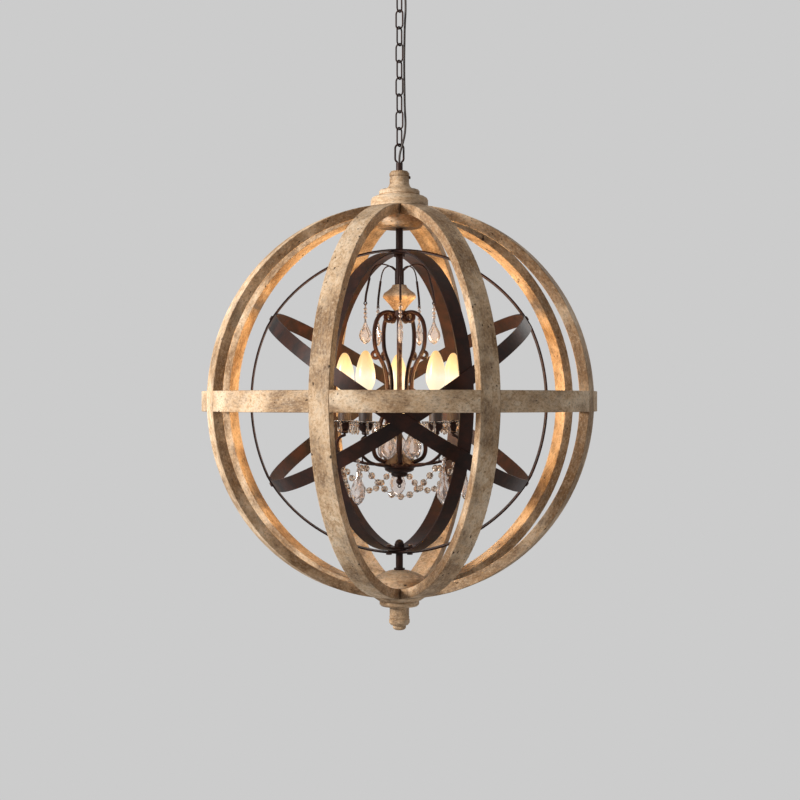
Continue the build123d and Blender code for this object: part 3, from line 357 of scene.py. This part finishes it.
# ---- shapes ----------------------------------------------------------------------------------
class Shape:
    """Collects one piece's faces. Points are given in metres around a place in the frame."""

    def __init__(self):
        self.mesh = bmesh.new()

    def rows(self, rows, at, close_ends=True):
        """Skin rows of points that all have the same count."""
        made = [[self.mesh.verts.new(at @ Vector(point)) for point in row] for row in rows]
        for lower, upper in zip(made, made[1:]):
            count = len(lower)
            for index in range(count):
                after = (index + 1) % count
                self.mesh.faces.new((lower[index], lower[after], upper[after], upper[index]))
        if close_ends:
            self.mesh.faces.new(reversed(made[0]))
            self.mesh.faces.new(made[-1])

    def lathe(self, profile, at, segments=24, scallop=None):
        """Turn (radius, height) points about the local Z; scallop(angle, radius) scales it."""
        rows = []
        for radius, height in profile:
            row = []
            for index in range(segments):
                angle = 2 * pi * index / segments
                reach = radius * (scallop(angle, radius) if scallop else 1)
                row.append((reach * cos(angle), reach * sin(angle), height))
            rows.append(row)
        self.rows(rows, at)

    def bar(self, points, radius, at, segments=10, closed=False):
        """A round bar along points, its section kept upright to the path."""
        path = [Vector(point) for point in points]
        count = len(path)
        rows = []
        for index, point in enumerate(path):
            before = path[index - 1] if closed or index else point
            after = path[(index + 1) % count] if closed or index < count - 1 else point
            along = (after - before).normalized()
            side = along.cross(Vector((0.31, 0.17, 0.93))).normalized()
            up = side.cross(along)
            turn = [2 * pi * step / segments for step in range(segments)]
            rows.append([point + radius * (cos(angle) * side + sin(angle) * up) for angle in turn])
        if closed:
            rows.append(rows[0])
        self.rows(rows, at, not closed)

    def ring(self, radius, wire, at, steps=28):
        """An upright wire ring in the local XZ plane."""
        turn = [2 * pi * step / steps for step in range(steps)]
        self.bar([(radius * cos(angle), 0, radius * sin(angle)) for angle in turn], wire, at, 8, True)

    def bead(self, radius, at, sides=8):
        """A cut bead: flat facets in five bands."""
        bands = [(0.34, -0.94), (0.80, -0.62), (1.0, 0.0), (0.80, 0.62), (0.34, 0.94)]
        self.lathe([(radius * share, radius * rise) for share, rise in bands], at, sides)

    def pear(self, width, height, thickness, at):
        """A flat pear hung from its top, with a girdle, a band of small facets and a table on each face."""
        right = [
            (0.10, 0.0), (0.24, 0.13), (0.50, 0.30), (0.84, 0.47), (1.0, 0.63), (0.86, 0.79), (0.50, 0.92),
        ]
        outline = right + [(0.0, 1.0)] + [(-share, drop) for share, drop in reversed(right)]
        heart = 0.60
        levels = [(1.0, 0.12), (0.84, 0.62), (0.52, 1.0)]
        bands = [(share, -side) for share, side in reversed(levels)] + levels
        rows = []
        for share, side in bands:
            row = []
            for out, drop in outline:
                level = heart + (drop - heart) * share
                row.append((side * thickness / 2, out * share * width / 2, -level * height))
            rows.append(row)
        self.rows(rows, at)

    def piece(self, name, body, slot_name, replaced, material, smooth=False):
        """Finish the faces as one object of the scene."""
        bmesh.ops.remove_doubles(self.mesh, verts=self.mesh.verts, dist=1e-6)
        bmesh.ops.recalc_face_normals(self.mesh, faces=self.mesh.faces)
        bmesh.ops.triangulate(self.mesh, faces=[face for face in self.mesh.faces if len(face.verts) > 4])
        data = bpy.data.meshes.new(name)
        self.mesh.to_mesh(data)
        self.mesh.free()
        for polygon in data.polygons:
            polygon.use_smooth = smooth
        data.materials.append(material)
        made = bpy.data.objects.new(name, data)
        bpy.context.scene.collection.objects.link(made)
        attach(made, body)
        if replaced:
            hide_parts(replaced)
        return made


def place(azimuth, radius, height):
    """A frame round the chandelier's axis: X along the radius, Z up. Azimuth 0 is the front."""
    turn = radians(azimuth)
    spot = (radius * sin(turn), -radius * cos(turn), height)
    return Matrix.Translation(spot) @ Matrix.Rotation(turn - pi / 2, 4, "Z")


def shifted(at, height, turn=0.0):
    """The same frame moved along its Z and turned about it."""
    return at @ Matrix.Translation((0, 0, height)) @ Matrix.Rotation(turn, 4, "Z")


def smooth_profile(points, steps=6):
    """A rounder profile through (radius, height) points."""
    ends = [points[0]] + list(points) + [points[-1]]
    result = []
    for before, first, second, after in zip(ends, ends[1:], ends[2:], ends[3:]):
        for step in range(steps):
            t = step / steps
            result.append(tuple(
                0.5 * (2 * b + (c - a) * t + (2 * a - 5 * b + 4 * c - d) * t ** 2
                       + (3 * b - a - 3 * c + d) * t ** 3)
                for a, b, c, d in zip(before, first, second, after)
            ))
    return result + [tuple(points[-1])]


# ---- crystals --------------------------------------------------------------------------------
RING_RADIUS = 2.6 * MM
RING_WIRE = 0.75 * MM
PIN_WIRE = 0.45 * MM
BEAD_STEP = 7.2 * MM
DROP_BEAD = 3.5 * MM
FIRST_BEAD = 0.65       # the first bead's share of a step below its ring
PIN_END = 2.5 * MM      # the pin ends this far below the top of its pear
PEAR_LOOP = 1.6 * MM    # radius of the loop in the top of a pear
PEAR_LOOP_RISE = 0.6 * MM


def hanging_drop(number, family, azimuth, reach, pear_size, beads, pear_turn):
    """A drop in the place of its CAD node: ring, pinned beads and a pear."""
    node = f"{family}_drop_{number}"
    low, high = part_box(node)
    at = place(azimuth, reach, high[2])
    centre = -RING_RADIUS - RING_WIRE
    wire = Shape()
    wire.ring(RING_RADIUS, RING_WIRE, shifted(at, centre, pi / 2))
    foot = centre - RING_RADIUS
    width, height, thickness = pear_size
    pear_top = low[2] - high[2] + height
    glass = Shape()
    for index in range(beads):
        level = foot - (index + FIRST_BEAD) * BEAD_STEP
        glass.bead(DROP_BEAD, shifted(at, level, 0.3 * index))
    wire.bar([(0, 0, foot), (0, 0, pear_top - PIN_END)], PIN_WIRE, at)
    glass.pear(width, height, thickness, shifted(at, pear_top, pear_turn))
    wire.ring(PEAR_LOOP, PIN_WIRE, shifted(at, pear_top + PEAR_LOOP_RISE), 16)
    wire.piece(f"{node}_pins", node, "dark_iron", node, pin_metal, True)
    glass.piece(f"{node}_glass", node, "crystal", node, cut_glass)


UPPER_REACH = 65 * MM
LOWER_REACH = 127 * MM
INNER_REACH = 34.5 * MM
UPPER_PEAR = (24 * MM, 43 * MM, 9 * MM)
LOWER_PEAR = (31 * MM, 64 * MM, 11 * MM)
INNER_PEAR = (36 * MM, 54 * MM, 10 * MM)
UPPER_BEADS = 3
LOWER_BEADS = 2
CANDLE_REACH = 105 * MM
for index in FIVE:
    arm = FIFTH * index
    hanging_drop(index + 1, "upper", arm, UPPER_REACH, UPPER_PEAR, UPPER_BEADS, pi / 2)
    hanging_drop(index + 1, "lower", CANDLE_TURN + arm, LOWER_REACH, LOWER_PEAR, LOWER_BEADS, 0)

low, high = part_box("inner_drops")
glass, wire = Shape(), Shape()
for index in FIVE:
    at = place(CANDLE_TURN + FIFTH * index, INNER_REACH, high[2])
    wire.ring(RING_RADIUS, RING_WIRE, shifted(at, -RING_RADIUS - RING_WIRE, 0))
    top = low[2] - high[2] + INNER_PEAR[1]
    wire.bar([(0, 0, -2 * RING_RADIUS), (0, 0, top - PIN_END)], PIN_WIRE, at)
    glass.pear(*INNER_PEAR, shifted(at, top))
glass.piece("inner_pears", "orb", "crystal", "inner_drops", cut_glass)
wire.piece("inner_pear_pins", "orb", "dark_iron", "inner_drops", pin_metal, True)

# ---- swags of beads --------------------------------------------------------------------------
SWAG_HOOK_REACH = 114 * MM
SWAG_BEAD = 6.2 * MM
SWAG_BEADS = 11
SWAG_MARGIN = 9.5 * MM
SWAG_EYE = 2.4 * MM     # a swag's wire starts this far from its hook
SWAG_WIRE = 0.5 * MM
SWAG_DROP = 57 * MM
HOOK_ABOVE_BEAD = 2 * MM
swag_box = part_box("bead_swags")
hook_height = swag_box[1][2] - SWAG_BEAD + HOOK_ABOVE_BEAD
half_span = SWAG_HOOK_REACH * sin(pi / 5)
right_side = [(0.19, -0.96), (0.5, -0.68), (0.82, -0.27), (0.955, -0.02)]
corners = [(-x, z) for x, z in reversed(right_side)] + right_side
swag_path = smooth_profile([(x * half_span, z * SWAG_DROP) for x, z in corners], 10)


def along_path(path, share):
    """The point at a share of a flat path's length."""
    lengths = [0.0]
    for first, second in zip(path, path[1:]):
        lengths.append(lengths[-1] + (Vector(second) - Vector(first)).length)
    goal = share * lengths[-1]
    for index in range(1, len(path)):
        if lengths[index] >= goal:
            part = (goal - lengths[index - 1]) / (lengths[index] - lengths[index - 1])
            return Vector(path[index - 1]).lerp(Vector(path[index]), part)
    return Vector(path[-1])


path_length = sum((Vector(b) - Vector(a)).length for a, b in zip(swag_path, swag_path[1:]))
margin = (SWAG_MARGIN - SWAG_EYE) / path_length
glass, wire = Shape(), Shape()
for index in FIVE:
    at = place(FIFTH * index, SWAG_HOOK_REACH * cos(pi / 5), hook_height)
    wire.bar([(0, x, z) for x, z in swag_path], SWAG_WIRE, at, 6)
    for bead in range(SWAG_BEADS):
        x, z = along_path(swag_path, margin + (1 - 2 * margin) * bead / (SWAG_BEADS - 1))
        at_bead = at @ Matrix.Translation((0, x, z)) @ Matrix.Rotation(0.4 * bead, 4, "Y")
        glass.bead(SWAG_BEAD, at_bead)
glass.piece("swag_beads", "orb", "crystal", "bead_swags", bead_glass)
wire.piece("swag_wires", "orb", "dark_iron", "bead_swags", pin_metal, True)

# ---- drip pans and their fringe --------------------------------------------------------------
pan_low, pan_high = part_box("bobeches")
PAN_RADIUS = 26 * MM
PAN_WALL = 1.3 * MM
PAN_SCALLOPS = 8
SCALLOP_DEPTH = 0.03
STUD_CLEAR = 2.4 * MM
RIM_DROPS = 8
pan_floor = pan_low[2]
pan_top = pan_high[2]
pan_profile = [
    (STUD_CLEAR, pan_floor), (PAN_RADIUS * 0.8, pan_floor), (PAN_RADIUS * 0.97, pan_floor + 0.8 * MM),
    (PAN_RADIUS, pan_top - 0.2 * MM), (PAN_RADIUS * 0.98, pan_top), (PAN_RADIUS * 0.93, pan_top - 0.5 * MM),
    (PAN_RADIUS * 0.8, pan_floor + PAN_WALL), (STUD_CLEAR, pan_floor + PAN_WALL),
]
drop_low, drop_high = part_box("rim_drops")
RIM_REACH = 23.2 * MM
fringe = drop_high[2] - drop_low[2]
rim_profile = [
    (0.3, 0.0), (0.82, 0.17), (1.0, 0.31), (0.5, 0.56), (0.42, 0.60), (0.95, 0.74), (0.4, 0.88),
]
RIM_DROP_RADIUS = 3.4 * MM


def scalloped(angle, radius):
    """The pan draws in a little between its scallops, most at its edge."""
    return 1 - SCALLOP_DEPTH * (radius / PAN_RADIUS) * abs(sin(PAN_SCALLOPS / 2 * angle))


glass, wire, pans = Shape(), Shape(), Shape()
for index in FIVE:
    candle = place(CANDLE_TURN + FIFTH * index, CANDLE_REACH, 0)
    pans.lathe(pan_profile, candle, 64, scalloped)
    for step in range(RIM_DROPS):
        at = candle @ place(360 / RIM_DROPS * step, RIM_REACH, drop_low[2])
        glass.lathe([(RIM_DROP_RADIUS * share, fringe * rise) for share, rise in rim_profile], at, 6)
        wire.bar([(0, 0, fringe * 0.86), (0, 0, fringe)], PIN_WIRE, at, 6)
pans.piece("glass_pans", "orb", "crystal", "bobeches", dish_glass, True)
glass.piece("fringe_drops", "orb", "crystal", "rim_drops", bead_glass)
wire.piece("fringe_pins", "orb", "dark_iron", "rim_drops", pin_metal, True)

# ---- bulbs -----------------------------------------------------------------------------------
BULB_RADIUS = 17.5 * MM
BULB_BASE_RADIUS = 6.9 * MM
BULB_BASE = 24 * MM
BULB_THREADS = 7
BULB_SHARES = [
    (0.37, 0.0), (0.46, 0.05), (0.76, 0.17), (0.95, 0.29), (1.0, 0.4), (0.95, 0.54), (0.79, 0.71),
    (0.55, 0.87), (0.3, 0.97), (0.1, 1.0),
]
GLOW_BELOW_TIP = 40 * MM
BULB_POWER = 1.05
for index in FIVE:
    node = f"bulb_{index + 1}"
    low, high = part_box(node)
    seat = low[2] + BULB_BASE
    rise = high[2] - seat
    at = place(CANDLE_TURN + FIFTH * index, CANDLE_REACH, seat)
    envelope = Shape()
    outline = [(BULB_RADIUS * share, rise * part) for share, part in BULB_SHARES]
    envelope.lathe(smooth_profile(outline), at, 40)
    glass = envelope.piece(f"{node}_envelope", node, "bulb_glass", node, warm_bulb, True)
    glass.visible_shadow = False
    turns = [(0.55 * BULB_BASE_RADIUS, -BULB_BASE), (0.75 * BULB_BASE_RADIUS, -0.88 * BULB_BASE)]
    for step in range(BULB_THREADS):
        level = -BULB_BASE * (0.8 - 0.1 * step)
        turns += [(0.9 * BULB_BASE_RADIUS, level), (BULB_BASE_RADIUS, level + 0.05 * BULB_BASE)]
    turns += [(0.9 * BULB_BASE_RADIUS, -0.08 * BULB_BASE), (0.9 * BULB_BASE_RADIUS, 0)]
    base = Shape()
    base.lathe(turns, at, 32)
    base.piece(f"{node}_base", node, "plated_steel", node, base_metal, True)

# ---- set screw in the top finial's neck --------------------------------------------------------
low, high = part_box("top_finial")
KNOB_BELOW_TOP = 11 * MM
NECK_RADIUS = 17 * MM
at = place(90, NECK_RADIUS, high[2] - KNOB_BELOW_TOP) @ Matrix.Rotation(pi / 2, 4, "Y")
knob = Shape()
head = [(1.8, -2), (1.8, 0.8), (2.8, 1.1), (3.0, 2.2), (2.3, 3.1), (0.8, 3.4)]
knob.lathe([(radius * MM, height * MM) for radius, height in head], at)
knob.piece("neck_set_screw", "orb", "dark_iron", None, rubbed_iron, True)


# ---- light, floor and camera -----------------------------------------------------------------
def area_light(name, spot, aim, size, power, shade):
    data = bpy.data.lights.new(name, "AREA")
    data.shape = "DISK"
    data.size = size
    data.energy = power
    data.color = shade
    lamp = bpy.data.objects.new(name, data)
    lamp.location = spot
    lamp.rotation_euler = (Vector(aim) - Vector(spot)).to_track_quat("-Z", "Y").to_euler()
    bpy.context.scene.collection.objects.link(lamp)


area_light("key", CENTRE + Vector((-2.9, -1.3, 0.9)), CENTRE, 1.1, 150, (1.0, 0.97, 0.93))
area_light("fill", CENTRE + Vector((2.2, -2.4, 0.4)), CENTRE, 2.0, 9, (1.0, 0.95, 0.9))
area_light("back", CENTRE + Vector((1.9, 2.4, 1.4)), CENTRE, 1.6, 14, (1.0, 0.97, 0.93))

for number in range(1, 6):
    bulb = f"bulb_{number}"
    low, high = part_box(bulb)
    data = bpy.data.lights.new(f"{bulb}_light", "POINT")
    data.energy = BULB_POWER
    data.color = (1.0, 0.62, 0.27)
    data.shadow_soft_size = 0.012
    lamp = bpy.data.objects.new(f"{bulb}_light", data)
    lamp.location = ((low[0] + high[0]) / 2, (low[1] + high[1]) / 2, high[2] - GLOW_BELOW_TIP)
    bpy.context.scene.collection.objects.link(lamp)
    lamp.parent = bodies[bulb]

WORLD_FILL = 0.22
BACKDROP = (0.80, 0.80, 0.80)
world = bpy.data.worlds.new("studio")
bpy.context.scene.world = world
world.use_nodes = True
tree = world.node_tree
tree.nodes.clear()
output = tree.nodes.new("ShaderNodeOutputWorld")
path = tree.nodes.new("ShaderNodeLightPath")
light_fill = tree.nodes.new("ShaderNodeBackground")
light_fill.inputs["Color"].default_value = (0.96, 0.98, 1.0, 1)
light_fill.inputs["Strength"].default_value = WORLD_FILL
seen = tree.nodes.new("ShaderNodeBackground")
seen.inputs["Color"].default_value = colour(BACKDROP)
seen.inputs["Strength"].default_value = 1.0
blend = tree.nodes.new("ShaderNodeMixShader")
seen_by = path.outputs["Is Camera Ray"]
for ray in ("Is Glossy Ray", "Is Transmission Ray"):
    either = tree.nodes.new("ShaderNodeMath")
    either.operation = "MAXIMUM"
    tree.links.new(seen_by, either.inputs[0])
    tree.links.new(path.outputs[ray], either.inputs[1])
    seen_by = either.outputs[0]
tree.links.new(seen_by, blend.inputs[0])
tree.links.new(light_fill.outputs[0], blend.inputs[1])
tree.links.new(seen.outputs[0], blend.inputs[2])
tree.links.new(blend.outputs[0], output.inputs["Surface"])

FLOOR_HEIGHT = CENTRE.z - 1.5
FLOOR_RADIUS = 2.3
FADE_END = 2.2          # the disc is clear from this radius on
FADE_WIDTH = 1.2        # and fades in over this width inside it
mesh = bpy.data.meshes.new("floor")
builder = bmesh.new()
bmesh.ops.create_circle(builder, cap_ends=True, segments=96, radius=FLOOR_RADIUS)
builder.to_mesh(mesh)
builder.free()
floor = bpy.data.objects.new("floor", mesh)
floor.location = (0, 0, FLOOR_HEIGHT)
bpy.context.scene.collection.objects.link(floor)
n = Nodes("pale_floor")
source = n.tree.nodes.new("ShaderNodeTexCoord").outputs["Object"]
length = n.add("ShaderNodeVectorMath", {"operation": "LENGTH"})
n.put(length.inputs[0], source)
fade = n.math("DIVIDE", n.math("SUBTRACT", FADE_END, length.outputs["Value"]), FADE_WIDTH, clamp=True)
n.put(n.shader.inputs["Alpha"], fade)
grain = n.noise(source, 30, 4)
n.put(n.shader.inputs["Base Color"], n.mix(grain, (0.82, 0.82, 0.82), (0.85, 0.85, 0.85)))
n.shader.inputs["Roughness"].default_value = 0.8
mesh.materials.append(n.material)

# The camera looks level at the orb. Its distance, turn and shift were fitted to the photograph.
PHOTO_WIDTH = 800
CAMERA_DISTANCE = 2.489
CAMERA_TURN = radians(-1.5)
camera_data = bpy.data.cameras.new("camera")
camera_data.lens = 61.65
camera_data.sensor_width = 36
camera_data.shift_x = 0.6 / PHOTO_WIDTH
camera_data.shift_y = 1.3 / PHOTO_WIDTH
camera = bpy.data.objects.new("camera", camera_data)
camera.location = CENTRE + Vector((sin(CAMERA_TURN), -cos(CAMERA_TURN), 0)) * CAMERA_DISTANCE
camera.rotation_euler = (radians(90), 0, CAMERA_TURN)
bpy.context.scene.collection.objects.link(camera)
bpy.context.scene.camera = camera
bpy.context.scene.view_settings.view_transform = "Standard"
